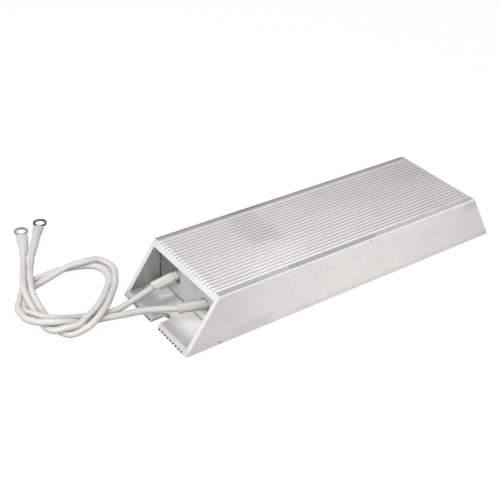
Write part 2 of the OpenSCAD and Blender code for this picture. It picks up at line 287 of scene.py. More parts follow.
# the two leads: places in mm, X from the base edge at the lead end, Z from the axis of a lead on the floor
# slack is a lead's share of its width, and lean its shift to the left in mm, at mm along it
leads = {
    "diameter": 3.4,
    "plump": 1.03,  # width of the woven cover, as a share of the diameter
    "uneven": 0.015,  # how much that share varies
    "lump": 4.0,  # over about this length
    "tuck": 5.0,  # length inside the sleeve
    "edge": -107.5,  # X of the base edge at the lead end
    "step": 0.9,
    "sides": 20,
    "slack": {
        "front": [
            (0, 0.98), (60, 1), (150, 1), (158, 1.15), (174, 1.18), (184, 1.05), (200, 1), (325, 1),
        ],
        "rear": [
            (0, 0.92), (25, 0.96), (60, 1), (125, 1), (136, 1.15), (152, 1.15), (165, 1.05), (180, 1),
            (208, 1), (214, 1.1), (224, 1.1), (230, 1), (325, 1),
        ],
    },
    "lean": {
        "front": [
            (0, 0), (88, 0), (96, -0.7), (108, -0.7), (118, 0), (150, 0), (160, 0.5), (172, 0.6),
            (182, 0.15), (190, 0), (218, 0), (224, 0.4), (234, 0.4), (242, 0), (325, 0),
        ],
        "rear": [
            (0, 0), (125, 0), (136, -0.5), (150, -0.5), (162, -0.2), (175, 0), (208, 0), (214, -0.5),
            (224, -0.5), (230, 0), (325, 0),
        ],
    },
    "front": [
        (9, -8.5, 11), (3, -4.5, 10.5), (-2, 0.5, 8.7), (-6, 6, 5.5), (-10, 11.5, 1.9),
        (-15, 15, 0.2), (-22, 17, 0), (-29.5, 18, 0.3), (-37, 18.5, 3.6), (-44.5, 20.5, 5.3),
        (-50.5, 25.5, 4.5), (-53.5, 32, 3.3), (-54, 39, 1.9), (-53, 45.5, 0.9), (-48.5, 53, 0.1),
        (-43.5, 59, 0), (-37, 63.5, 0), (-27, 65.1, 0), (-15.3, 65.1, 0), (-7.8, 62.6, 0),
        (-1.8, 58.7, 0), (0.5, 52, 0), (-1.5, 43.5, 0.5), (-6.5, 36.5, 1.5), (-12.5, 29, 2.9),
        (-19.5, 22.5, 3.6), (-27, 18, 3.7), (-34.5, 14.5, 3.7), (-41, 15.2, 3.95), (-45.2, 17.7, 2.5),
        (-47, 22.2, 0.9), (-46.8, 28.6, 0), (-46.5, 35.5, 0.3), (-46.5, 43, 2.5), (-45.5, 51, 3.6),
        (-43, 59, 3.8), (-39, 68, 2.5), (-34.5, 78, 0.7), (-29.7, 88.5, 0.6), (-27, 94, 0.85),
        (-25, 99.5, 0.85),
    ],
    "rear": [
        (10, 15.5, 9.1), (2.5, 16.5, 5.9), (-4, 17.5, 3), (-10.5, 18.5, 0.4), (-17.5, 19.6, 0),
        (-26, 22.5, 0), (-34.2, 24, 1.3), (-40.2, 24.4, 3.2), (-45.5, 27.6, 3.9), (-49, 34, 3.6),
        (-50.5, 40, 1.4), (-48.5, 45.5, 0.1), (-45.5, 50.5, 0), (-39, 58, 0), (-29.5, 61, 0.5),
        (-22.5, 61.5, 2.1), (-16.5, 61.9, 3.3), (-10.6, 61.4, 3.7), (-4, 61.8, 3.3), (1.8, 61.9, 1.8),
        (5.5, 58.9, 0.4), (6.5, 53.2, 0), (3.5, 45.5, 0.3), (-1.5, 37, 1.3), (-7.5, 29.5, 2.7),
        (-14, 22, 3.6), (-22, 15.5, 3.6), (-29.5, 12, 2.3), (-35.4, 12.1, 0.6), (-39.6, 13.3, 0.1),
        (-42.2, 16.8, 0), (-43, 22, 0), (-42.8, 29.2, 0), (-43, 36.5, 0.3), (-43, 43, 2.1),
        (-42, 50.5, 3.6), (-39, 59, 3.8), (-35.5, 67.5, 3.4), (-30.5, 77.5, 0.9), (-25, 87.5, 0.6),
        (-19, 96.5, 0.85), (-14.5, 103.5, 0.85),
    ],
}

# the sleeves over the splices, in mm from the closing plate to their mouths
# short is how far the mouth stays behind the lead's start, lip its slant, frayed the root's half width
exits = {
    "inner": 1.85,  # half width inside
    "sides": 28,
    "fromRoot": (0.0, 0.4, 1.2, 4.0, 5.5, 7.0, 8.5),  # places of the rings, in four groups
    "fromNeck": (-0.1, 0.1, 0.5),
    "fromCuff": (-0.12, 0.12),
    "fromMouth": (3.2, 2.2, 1.6, 0.5, 0.15, 0.0),
    "edgeTrim": 0.15,  # how much thinner the edge of the mouth is
    "pastNeck": (0.3, 0.1),  # length past the neck, and how much thinner it is there
    "ripple": 0.05,
    "ripplePace": 0.6,
    "lipRun": 4.0,  # length that slants
    "frayRun": 1.2,  # length that spreads at the root
    "front": {
        "root": (-86.6, -15, 14.675), "outer": 2.6, "frayed": 3.1, "neck": 1.8, "trim": 0.12,
        "short": 0.0, "lip": 0.0, "cuff": 0.28, "cuffLength": 1.9,
    },
    "rear": {
        "root": (-86.6, 11.5, 16.175), "outer": 2.95, "frayed": 2.6, "neck": 1.5, "trim": 0.6,
        "short": 0.9, "lip": 2.0, "cuff": 0.1, "cuffLength": 0.6,
    },
}


def routeOf(side):
    shift = Vector((leads["edge"], 0, leads["diameter"] / 2))
    return [(Vector(point) + shift) * mm for point in leads[side]]


def exitAxis(side):
    return (routeOf(side)[0] - Vector(exits[side]["root"]) * mm).normalized()


def makeLead(side):
    route = routeOf(side)
    start = route[0] - exitAxis(side) * leads["tuck"] * mm
    line = smoothLine([start] + route, leads["step"] * mm)
    radius = leads["diameter"] / 2 * mm
    low = [Vector((p.x, p.y, max(p.z, radius * leads["plump"]))) for p in line]
    rings = []
    along = 0.0
    for i, (point, (across, up)) in enumerate(zip(low, lineFrames(low))):
        along += (point - low[max(i - 1, 0)]).length / mm
        size = radius * (leads["plump"] + leads["uneven"] * noise.noise(point / (leads["lump"] * mm)))
        width = size * valueAt(leads["slack"][side], along)
        middle = point + across * valueAt(leads["lean"][side], along) * mm
        rings.append(ringAt(middle, across, up, width, min(size, width), leads["sides"]))
    piece = loft("leadTube." + side, rings)
    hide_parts("lead_" + side)
    return piece, low


# white sleeves over the ends of the leads, in mm
# covers is the length on the lead, flare the reach past the route's end, widens the length that spreads
# barrel gives where the terminal's barrel starts and ends past the route's end, and its half width
terminalSleeves = {
    "wall": 0.4,
    "thinEdge": 0.1,  # share of the wall at the edge on the lead
    "thinned": 0.65,  # share of the wall lost towards the flared end
    "uneven": 0.05,
    "lump": 2.2,
    "onLead": 1.8,  # half width inside, on the lead
    "flare": 7.2,
    "flareDrop": 0.9,  # how far the flared end sinks
    "flareHalf": (3.25, 0.5),  # half width and half height of the flared end
    "feather": 3.0,  # length over which the edge thickens
    "barrel": (-1.0, 5.05, 2.07),
    "swell": 1.5,  # length over which it widens onto the barrel
    "routeEnd": 6,  # points of the route that it may cover
    "front": {"covers": 12.4, "widens": 17.0},
    "rear": {"covers": 21.5, "widens": 9.0},
    "sides": 32,
    "step": 0.5,
}


# the sleeve's middle line, and how much of it lies on the lead
def terminalSleeveLine(side):
    t = terminalSleeves
    route = routeOf(side)
    heading = (route[-1] - route[-2]).normalized()
    covered = smoothLine(route[-t["routeEnd"]:], t["step"] * mm)
    while lengthOf(covered[1:]) > t[side]["covers"] * mm:
        covered.pop(0)
    last = t["barrel"][1]
    count = round(t["flare"] / t["step"])
    line = list(covered)
    for i in range(1, count + 1):
        past = t["flare"] * i / count
        drop = t["flareDrop"] * quickDrop((past - last) / (t["flare"] - last))
        line.append(route[-1] + (heading * past - Vector((0, 0, drop))) * mm)
    return line, lengthOf(covered)


def makeTerminalSleeve(side):
    t = terminalSleeves
    line, onLead = terminalSleeveLine(side)
    first, last, barrelHalf = t["barrel"]
    flatW, flatH = t["flareHalf"]
    outer, inner = [], []
    for i, (point, (across, up)) in enumerate(zip(line, lineFrames(line))):
        start = lengthOf(line[:i + 1]) / mm
        past = (lengthOf(line[:i + 1]) - onLead) / mm
        wide = 1 - min(1.0, (t["flare"] - past) / t[side]["widens"])
        onto = easeBetween((past - first + t["swell"]) / t["swell"])
        flat = quickDrop((past - last) / (t["flare"] - last))
        snug = t["onLead"] + (barrelHalf - t["onLead"]) * onto
        halfW = max(snug, t["onLead"] + (flatW - t["onLead"]) * wide)
        halfH = snug + (flatH - snug) * flat
        grown = easeBetween(start / t["feather"])
        wall = t["wall"] * (t["thinEdge"] + (1 - t["thinEdge"]) * grown)
        wall *= 1 - t["thinned"] * easeBetween(past / last)
        wall += t["uneven"] * noise.noise(point / (t["lump"] * mm)) * grown
        inner.append(ringAt(point, across, up, halfW * mm, halfH * mm, t["sides"]))
        outer.append(ringAt(point, across, up, (halfW + wall) * mm, (halfH + wall) * mm, t["sides"]))
    piece = loft("terminalSleeve." + side, outer + inner[::-1], shell=True)
    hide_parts("ring_sleeve_" + side)
    return piece


def makeExitSleeve(side):
    e = exits[side]
    root, mouth = Vector(e["root"]) * mm, routeOf(side)[0]
    axis = exitAxis(side)
    across = Vector((0, 0, 1)).cross(axis).normalized()
    up = axis.cross(across)
    length = (mouth - root).length / mm - e["short"]
    stations = list(exits["fromRoot"])
    stations += [e["neck"] + s for s in exits["fromNeck"]]
    stations += [length - e["cuffLength"] + s for s in exits["fromCuff"]]
    stations += [length - s for s in exits["fromMouth"]]
    outer, inner = [], []
    for s in sorted(set(stations)):
        cuff = e["cuff"] if s > length - e["cuffLength"] else 0.0
        ripple = exits["ripple"] * noise.noise(Vector((s * exits["ripplePace"], e["root"][1], 0)))
        slant = e["lip"] * max(0.0, (s - length + exits["lipRun"]) / exits["lipRun"])
        half = e["outer"] + cuff - exitTrim(e, s, length) + ripple
        half += (e["frayed"] - half) * max(0.0, 1 - s / exits["frayRun"]) ** 2
        outer.append(exitRing(root, axis, across, up, s, half, slant))
        inner.append(exitRing(root, axis, across, up, s, exits["inner"], slant))
    piece = loft("exitSleeve." + side, outer + inner[::-1], shell=True)
    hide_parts("splice_sleeve_" + side)
    return piece


# how much thinner the sleeve is: at the edge of its mouth, on its neck and just past the neck
def exitTrim(e, s, length):
    if s >= length:
        return exits["edgeTrim"]
    if s < e["neck"]:
        return e["trim"]
    reach, trim = exits["pastNeck"]
    return trim if s < e["neck"] + reach else 0.0


def exitRing(root, axis, across, up, s, half, slant):
    ring = []
    for k in range(exits["sides"]):
        a = 2 * math.pi * k / exits["sides"]
        point = root + across * (half * math.cos(a) * mm) + up * (half * math.sin(a) * mm)
        reach = s + slant * math.sin(a)
        # the root end is cut flush with the plate
        flush = (root.x - point.x) / axis.x / mm
        ring.append(point + axis * (max(reach, flush) if s > 0 else flush) * mm)
    return ring


pieces = {}
for side in ("front", "rear"):
    pieces["lead", side], path = makeLead(side)
    pieces["terminalSleeve", side] = makeTerminalSleeve(side)
    pieces["exitSleeve", side] = makeExitSleeve(side)
    lengthOf(path)
    print("lead", side, "is", round(lengthOf(path) / mm, 1), "mm long")


# rounded edges on nodes whose shape stays: widths in mm, angles in degrees
# weld and flat join the triangles of each flat face, so that only real edges are rounded
edges = {
    "weld": 0.0005,
    "flatAngle": 0.3,
    "edgeAngle": 25,
    "segments": 2,
    "widths": {
        "housing": 0.16,
        "lead_end_plate": 0.2,
        "far_end_plate": 0.2,
        "ring_terminal_front": 0.14,
        "ring_terminal_rear": 0.14,
    },
}


def softenEdges(name, width):
    node = nodes[name]
    weld = node.modifiers.new("weld", "WELD")
    weld.merge_threshold = edges["weld"] * mm
    flat = node.modifiers.new("flat", "DECIMATE")
    flat.decimate_type = "DISSOLVE"
    flat.angle_limit = math.radians(edges["flatAngle"])
    bevel = node.modifiers.new("edge", "BEVEL")
    bevel.width = width * mm
    bevel.segments = edges["segments"]
    bevel.limit_method = "ANGLE"
    bevel.angle_limit = math.radians(edges["edgeAngle"])
    bevel.use_clamp_overlap = True
    node.modifiers.new("normals", "WEIGHTED_NORMAL")


for name, width in edges["widths"].items():
    softenEdges(name, width)
print("edges rounded")


# in the finishes a tone is red, green and blue, and a cloud is scale, detail and roughness
# two numbers are where a rise or fall begins and ends, in metres for a place along X, Y or Z
# with a third, share takes that as its most, or near takes middle, half width and soft edge

# the housing's bare metal: what its areas share
aluminium = {
    # a darker tone for stains, streaks and specks, and for painted shade at the far end of the top
    "smudgeAndShade": (0.50, 0.495, 0.475),
    "bright": (0.95, 0.95, 0.935),
    "drawn": (12, 900, 900),  # streaks along the length
    "washed": (170, 60, 14),  # streaks up and down
    "wide": (28.0, 4.0, 0.6),
    "speck": (520.0, 3.0, 0.6),
    "grit": (900.0, 3.0, 0.7),
    "frontFrom": (0.0, 0.001),
    "topFrom": (0.0280, 0.0284),
    "facingUp": (0.4, 0.8),
    "metal": 0.6,
    "floorMetal": 0.1,
    "rough": 0.42,
    "roughWide": 0.14,
    "roughDrawn": 0.06,
    "bumpDrawn": 0.6,
    "bumpWashed": 0.4,
    "bump": (0.10, 0.0002),  # strength and distance
}


def aluminiumFinish():
    a = aluminium
    f = Finish("extrudedAluminium", {"Specular IOR Level": 0.4})
    place = f.place()
    # kept on the finish for the functions of its areas
    f.x, f.y, f.z = f.split(place)
    f.nx, f.ny, f.nz = f.split(f.facing())
    f.drawn = f.cloud(f.stretched(place, a["drawn"]), 1.0)
    f.washed = f.cloud(f.stretched(place, a["washed"]), 1.0)
    f.wide = f.cloud(place, *a["wide"])
    f.speck = f.cloud(place, *a["speck"])
    f.grit = f.cloud(place, *a["grit"])
    f.front = f.rise(0 - f.y, *a["frontFrom"])
    f.above = f.rise(f.z, *a["topFrom"])
    f.level = f.above * f.rise(f.nz, *a["facingUp"])
    tone = ribbedTop(f)
    tone = flanksOver(f, tone)
    tone = stripsOver(f, tone)
    tone, paved = hollowOver(f, tone)
    tone = sawnOver(f, tone)
    f.colour(notchOver(f, tone))
    f.feed(f.shader.inputs["Metallic"], a["metal"] - (a["metal"] - a["floorMetal"]) * paved)
    f.roughness(a["rough"] + a["roughWide"] * f.wide + a["roughDrawn"] * f.drawn)
    f.bump(f.drawn * a["bumpDrawn"] + f.washed * a["bumpWashed"], *a["bump"])
    return f.material


# ribbed top with painted light falloff, darker towards the far end and the rear; painted shade in the groove
# bottoms, painted highlight on the upper groove walls, and bright rib tips at the lead end as painted glints
top = {
    "rear": (0.685, 0.675, 0.655),
    "rearFar": (0.51, 0.50, 0.482),
    "front": (0.797, 0.785, 0.764),
    "frontFar": (0.60, 0.59, 0.569),
    "wall": (0.847, 0.835, 0.818),
    "groove": (0.243, 0.24, 0.234),
    "farX": (-0.03, 0.13),
    "frontY": (-0.022, 0.022),
    "stains": (0.52, 0.72, 0.3),
    "handledX": (-0.039, 0.004, 0.010),
    "handledY": (0.012, 0.010, 0.008),
    "handled": 0.45,
    "streaks": (0.42, 0.68, 0.3),
    "brightPatchX": (-0.047, 0.010, 0.018),
    "brightPatchY": (0.002, 0.018),
    "brightPatch": 0.4,
    "ribbedY": (0.0255, 0.0258),
    "wallZ": (0.0290, 0.0295, 0.6),
    "grooveZ": (0.0286, 0.0290),
    "grooveShare": 0.8,
    "grooveFades": 0.4,
    "tipX": (0.0868, 0.0876),
}


def ribbedTop(f):
    t = top
    smudgeAndShade, bright = aluminium["smudgeAndShade"], aluminium["bright"]
    # painted light falloff: darker towards the far end, lighter towards the front
    far = f.rise(f.x, *t["farX"])
    rear = f.blend(far, t["rear"], t["rearFar"])
    front = f.blend(far, t["front"], t["frontFar"])
    tone = f.blend(f.rise(0 - f.y, *t["frontY"]), rear, front)
    handled = f.near(f.x, *t["handledX"]) * f.near(f.y, *t["handledY"]) * t["handled"]
    tone = f.blend(f.larger(f.share(f.wide, *t["stains"]), handled), tone, smudgeAndShade)
    tone = f.blend(f.share(f.drawn, *t["streaks"]), tone, smudgeAndShade)
    # a brighter patch near the front, at the lead end
    brightPatch = f.near(f.x, *t["brightPatchX"]) * f.rise(0 - f.y, *t["brightPatchY"])
    tone = f.blend(brightPatch * t["brightPatch"], tone, bright)
    ribs = f.above * f.fall(abs(f.y), *t["ribbedY"])
    # painted highlight: the upper part of the groove walls lighter, standing in for light reaching them
    walls = ribs * f.fall(f.nz, *aluminium["facingUp"]) * f.share(f.z, *t["wallZ"])
    tone = f.blend(walls, tone, t["wall"])
    # painted shade in the groove bottoms, less towards the far end
    grooves = ribs * f.fall(f.z, *t["grooveZ"]) * (t["grooveShare"] - t["grooveFades"] * far)
    tone = f.blend(grooves, tone, t["groove"])
    # painted glints: the rib tips at the lead end in the bright tone
    return f.blend(f.level * ribs * f.rise(0 - f.x, *t["tipX"]), tone, bright)


# sides, brightest near the middle of their length as a painted sheen, darker along the foot and nicked on
# the front
flanks = {
    "plain": (0.655, 0.645, 0.62),
    "middle": (0.795, 0.785, 0.755),
    "nick": (0.16, 0.16, 0.15),
    "fromY": (0.0292, 0.0298),
    "facing": (0.6, 0.9),
    "brightFrom": (-0.095, -0.050),
    "brightTo": (0.015, 0.125),
    "streaks": (0.45, 0.75, 0.06),
    "specks": (0.4, 0.8, 0.16),
    "stains": (0.5, 0.75, 0.12),
    "grit": (0.44, 0.62, 0.16),
    "rubbedX": (0.088, 0.004, 0.006),
    "rubbedZ": (0.0205, 0.0260, 0.6),
    "farFootX": (0.092, 0.106, 0.7),
    "farFootZ": (0.001, 0.007),
    "nearFootX": (0.050, 0.105, 0.5),
    "nearFootZ": (0.001, 0.010),
    "patchX": (-0.068, 0.008, 0.010),
    "patchZ": (0.004, 0.010),
    "patch": 0.5,
    "edgeZ": (0.001, 0.0045),
    "edge": 0.35,
    "nicks": [
        ((0.008, 0.0006, 0.0004), (0.0288, 0.0003, 0.0003), 1.0),
        ((-0.0873, 0.0008, 0.0006), (0.0012, 0.0002, 0.0004), 0.7),
    ],
}


def flanksOver(f, tone):
    s = flanks
    smudgeAndShade = aluminium["smudgeAndShade"]
    outside = f.rise(abs(f.y), *s["fromY"]) * f.rise(abs(f.ny), *s["facing"])
    # painted sheen: lighter near the middle of the length
    bright = f.rise(f.x, *s["brightFrom"]) * f.fall(f.x, *s["brightTo"])
    flank = f.blend(bright, s["plain"], s["middle"])
    clouded = f.share(f.washed, *s["streaks"]) + f.share(f.speck, *s["specks"])
    flank = f.blend(clouded + f.share(f.wide, *s["stains"]), flank, smudgeAndShade)
    flank = f.blend(f.share(f.grit, *s["grit"]), flank, smudgeAndShade)
    # darker patches, and darker towards the foot
    darkened = f.near(f.x, *s["rubbedX"]) * f.share(f.z, *s["rubbedZ"])
    darkened = f.larger(darkened, f.share(f.x, *s["farFootX"]) * f.fall(f.z, *s["farFootZ"]))
    darkened = f.larger(darkened, f.share(0 - f.x, *s["nearFootX"]) * f.fall(f.z, *s["nearFootZ"]))
    darkened = f.larger(darkened, f.near(f.x, *s["patchX"]) * f.fall(f.z, *s["patchZ"]) * s["patch"])
    darkened = f.larger(darkened, f.fall(f.z, *s["edgeZ"]) * s["edge"])
    flank = f.blend(darkened, flank, smudgeAndShade)
    nicked = 0.0
    for spanX, spanZ, most in s["nicks"]:
        nicked = f.larger(nicked, f.near(f.x, *spanX) * f.near(f.z, *spanZ) * most)
    flank = f.blend(nicked * f.front, flank, s["nick"])
    return f.blend(outside, tone, flank)


# strips along the long top edges, darker than the top as painted shade, the front one with a dull stretch
# and a painted highlight line on both sides
strips = {
    "near": (0.44, 0.435, 0.418),
    "plain": (0.51, 0.505, 0.484),
    "dull": (0.41, 0.405, 0.39),
    "rear": (0.48, 0.48, 0.46),
    "rearEdge": (0.30, 0.30, 0.285),
    "rearDeepShade": (0.22, 0.22, 0.21),
    "line": (0.86, 0.86, 0.845),
    "fromY": (0.0259, 0.0262),
    "dullX": (-0.016, 0.029, 0.0004),
    "deeperShadeX": (-0.032, 0.006, 0.016),
    "deeperShadeFarX": (0.045, 0.1, 0.7),
    "rearEdgeY": (0.0262, 0.0288),
    "plainFrom": (-0.070, -0.054),
    "plainTo": (0.074, 0.084),
    "farEndX": (0.0845, 0.0875, 0.6),
    "innerY": (0.0253, 0.0006, 0.0002),
    "innerFades": (-0.01, 0.07, 0.9),
    "cornerZ": (0.0293, 0.0003, 0.0002),
    "cornerSideY": (0.0297, 0.0299),
    "cornerTopY": (0.0293, 0.0296),
}


def stripsOver(f, tone):
    s = strips
    strip = f.rise(abs(f.y), *s["fromY"]) * f.level
    # painted shade along the rear strip, deeper in places and towards the far end
    deeperShade = f.larger(f.near(f.x, *s["deeperShadeX"]), f.share(f.x, *s["deeperShadeFarX"]))
    rearEdge = f.blend(deeperShade, s["rearEdge"], s["rearDeepShade"])
    rear = f.blend(f.rise(f.y, *s["rearEdgeY"]), s["rear"], rearEdge)
    # painted shade on the front strip, a little lighter in the middle of the length
    plain = f.rise(f.x, *s["plainFrom"]) * f.fall(f.x, *s["plainTo"])
    front = f.blend(plain, s["near"], s["plain"])
    front = f.blend(f.near(f.x, *s["dullX"]), front, s["dull"])
    tone = f.blend(strip, tone, f.blend(f.front, rear, front))
    # painted shade at the far end of the top
    tone = f.blend(f.level * f.share(f.x, *s["farEndX"]), tone, aluminium["smudgeAndShade"])
    # painted highlights: bright lines along the front strip's inner edge and along the front top corner
    inner = f.near(abs(f.y), *s["innerY"]) * f.level * (1 - f.share(f.x, *s["innerFades"]))
    cornerSide = f.near(f.z, *s["cornerZ"]) * f.rise(abs(f.y), *s["cornerSideY"])
    corner = f.larger(cornerSide, f.rise(abs(f.y), *s["cornerTopY"]) * f.level)
    return f.blend(f.larger(inner, corner) * f.front, tone, s["line"])


# hollow ends: streaked walls darker as painted shade, with a dark seam at the plate and painted shade at
# their foot; a pale floor that dulls to the edge and the rear as painted shade, with painted light near the
# plate
hollow = {
    "wall": (0.31, 0.31, 0.30),
    "wallPale": (0.49, 0.49, 0.47),
    "seam": (0.07, 0.07, 0.07),
    "floor": (0.93, 0.925, 0.91),
    "floorEdge": (0.46, 0.455, 0.445),
    "floorRear": (0.44, 0.435, 0.425),
    "floorDeep": (0.97, 0.965, 0.95),
    "insideY": (0.0277, 0.0282),
    "floorZ": (0.0025, 0.003),
    "roofZ": (0.0264, 0.0268),
    "wallFacing": (0.5, 0.8),
    "floorFacing": (0.6, 0.9),
    "palerUp": 14,
    "paleFrom": (0.5, 0.85),
    "seamX": (0.0868, 0.0002, 0.0003),
    "seamFades": (0.0095, 0.0150, 0.4),
    "footX": (0.0885, 0.097),
    "footZ": (0.004, 0.012),
    "foot": 0.6,
    "edgeX": (0.0930, 0.1045),
    "rearY": (-0.001, 0.011),
    "deepX": (0.0925, 0.0990),
    "deepY": (0.0115, 0.0150),
    "patchX": (0.0940, 0.0985, 0.3),
    "patchY": (0.0185, 0.0010, 0.0030),
    "shadeX": (0.093, 0.098, 0.7),
    "shadeY": (0.0225, 0.0265),
    "shade": 0.25,
    "specks": (0.45, 0.75, 0.15),
}


# also gives where the floor lies
def hollowOver(f, tone):
    h = hollow
    inside = f.fall(abs(f.y), *h["insideY"]) * f.rise(f.z, *h["floorZ"]) * f.fall(f.z, *h["roofZ"])
    # painted shade: the walls far darker than the same metal outside, paler in streaks and upwards
    wall = f.blend(f.rise(f.washed + f.z * h["palerUp"], *h["paleFrom"]), h["wall"], h["wallPale"])
    seam = f.near(abs(f.x), *h["seamX"]) * (1 - f.share(f.z, *h["seamFades"]))
    # painted shade at the foot of the walls next to the plate, in the seam's tone
    foot = f.fall(abs(f.x), *h["footX"]) * f.fall(f.z, *h["footZ"]) * h["foot"]
    wall = f.blend(f.larger(seam, foot), wall, h["seam"])
    tone = f.blend(inside * f.rise(abs(f.ny), *h["wallFacing"]), tone, wall)
    # painted shade: the floor darker towards the edge and the rear
    floor = f.blend(f.rise(abs(f.x), *h["edgeX"]), h["floor"], h["floorEdge"])
    floor = f.blend(f.rise(f.y, *h["rearY"]), floor, h["floorRear"])
    # painted light: paler patches on the floor near the plate, where the sleeves' shadows fall
    deep = f.fall(abs(f.x), *h["deepX"]) * f.rise(f.y, *h["deepY"])
    floor = f.blend(deep, floor, h["floorDeep"])
    patch = f.near(f.y, *h["patchY"]) * f.share(abs(f.x), *h["patchX"])
    floor = f.blend(patch, floor, h["floorDeep"])
    shade = f.rise(f.y, *h["shadeY"]) * (h["shade"] + f.share(abs(f.x), *h["shadeX"]))
    floor = f.blend(shade, floor, h["wall"])
    floor = f.blend(f.share(f.speck, *h["specks"]), floor, aluminium["smudgeAndShade"])
    paved = inside * f.rise(f.nz, *h["floorFacing"])
    return f.blend(paved, tone, floor), paved


# sawn ends, and the base grooves, dark as painted shade
sawn = {
    "plain": (0.765, 0.76, 0.745),
    "rear": (0.70, 0.70, 0.685),
    "base": (0.64, 0.635, 0.62),
    "groove": (0.05, 0.05, 0.05),
    "facing": (0.62, 0.78),
    "rearY": (0.02, 0.029),
    "baseZ": (0.0028, 0.0034),
    "stains": (0.5, 0.7, 0.15),
    "pitch": 2.52 * mm,
    "grooveY": (0.0, 0.0005, 0.0002),
    "grooveZ": (0.0008, 0.0010),
    "firstY": (0.0036, 0.0039),
    "lastY": (0.0262, 0.0266),
    "grooveUp": (0.8, 0.9),
}


def sawnOver(f, tone):
    s = sawn
    cut = f.blend(f.rise(f.y, *s["rearY"]), s["plain"], s["rear"])
    cut = f.blend(f.rise(f.z, *s["baseZ"]), s["base"], cut)
    cut = f.blend(f.share(f.wide, *s["stains"]), cut, aluminium["smudgeAndShade"])
    tone = f.blend(f.rise(abs(f.nx), *s["facing"]), tone, cut)
    half = s["pitch"] / 2
    fromGroove = f.node("ShaderNodeMath", {"operation": "WRAP"}, {0: f.y, 1: half, 2: -half})
    # painted shade inside the base grooves
    groove = f.near(fromGroove, *s["grooveY"]) * f.fall(f.z, *s["grooveZ"])
    groove = groove * f.rise(abs(f.y), *s["firstY"]) * f.fall(abs(f.y), *s["lastY"])
    return f.blend(groove * f.fall(f.nz, *s["grooveUp"]), tone, s["groove"])


# notch walls, darker as painted shade, most at their inner end and along the underside
notch = {
    "wall": (0.54, 0.535, 0.525),
    "deep": (0.25, 0.25, 0.245),
    "deepX": (0.0984, 0.1008),
    "deepZ": (0.0004, 0.0012),
    "insideX": (0.0975, 0.0980),
    "insideY": (0.0033, 0.0035),
    "insideZ": (0.0030, 0.0032),
    "facingUp": (0.4, 0.7),
}


def notchOver(f, tone):
    n = notch
    deep = f.larger(f.fall(abs(f.x), *n["deepX"]), f.fall(f.z, *n["deepZ"]))
    inside = f.fall(abs(f.y), *n["insideY"]) * f.fall(f.z, *n["insideZ"]) * f.fall(f.nz, *n["facingUp"])
    inside = inside * f.rise(abs(f.x), *n["insideX"])
    # painted shade on the notch walls
    return f.blend(inside, tone, f.blend(deep, n["wall"], n["deep"]))


# closing plates; at the lead end painted shade in the corner behind the rear lead, a spot below its hole and
# a pale foot of painted light
board = {
    "plain": (0.51, 0.51, 0.505),
    "pale": (0.58, 0.58, 0.575),
    "stain": (0.30, 0.30, 0.30),
    "cornerShade": (0.15, 0.15, 0.15),
    "spot": (0.03, 0.03, 0.03),
    "foot": (0.78, 0.785, 0.775),
    "fine": (420.0, 5.0, 0.65),
    "wide": (60.0, 3.0),
    "paleFrom": (0.35, 0.7),
    "stains": (0.62, 0.8, 0.5),
    "leadEnd": (0.0, 0.001),
    "cornerSlope": 0.3,
    "cornerFrom": (0.0145, 0.0175),
    "cornerY": (0.0185, 0.0205),
    "cornerZ": (0.0100, 0.0130),
    "corner": 0.85,
    "cornerCloud": 0.15,
    "spotY": (0.0122, 0.0005, 0.0006),
    "spotZ": (0.0125, 0.0005, 0.0006),
    "footY": (0.001, 0.006),
    "footZ": (0.0060, 0.0100),
    "lineZ": (0.0036, 0.0043),
    "line": 0.8,
    "rough": 0.6,
    "roughFine": 0.2,
    "bump": (0.12, 0.0003),
}


def boardFinish():
    b = board
    f = Finish("mineralBoard", {"Specular IOR Level": 0.3})
    place = f.place()
    x, y, z = f.split(place)
    fine = f.cloud(place, *b["fine"])
    wide = f.cloud(place, *b["wide"])
    leadEnd = f.rise(0 - x, *b["leadEnd"])
    tone = f.blend(f.rise(fine, *b["paleFrom"]), b["plain"], b["pale"])
    tone = f.blend(f.share(wide, *b["stains"]), tone, b["stain"])
    # painted shade in the upper rear corner, behind the rear lead
    behind = f.larger(f.rise(z, *b["cornerZ"]), f.rise(y, *b["cornerY"]))
    corner = f.rise(y + b["cornerSlope"] * z, *b["cornerFrom"]) * behind * leadEnd
    tone = f.blend(corner * (b["corner"] + b["cornerCloud"] * wide), tone, b["cornerShade"])
    # painted light: the lower front of the plate paler
    foot = f.fall(z, *b["footZ"]) * f.rise(0 - y, *b["footY"]) * leadEnd
    tone = f.blend(foot, tone, b["foot"])
    spot = f.near(y, *b["spotY"]) * f.near(z, *b["spotZ"]) * leadEnd
    line = f.fall(z, *b["lineZ"]) * b["line"]  # along the floor
    f.colour(f.blend(f.larger(spot, line), tone, b["spot"]))
    f.roughness(b["rough"] + b["roughFine"] * fine)
    f.bump(fine, *b["bump"])
    return f.material


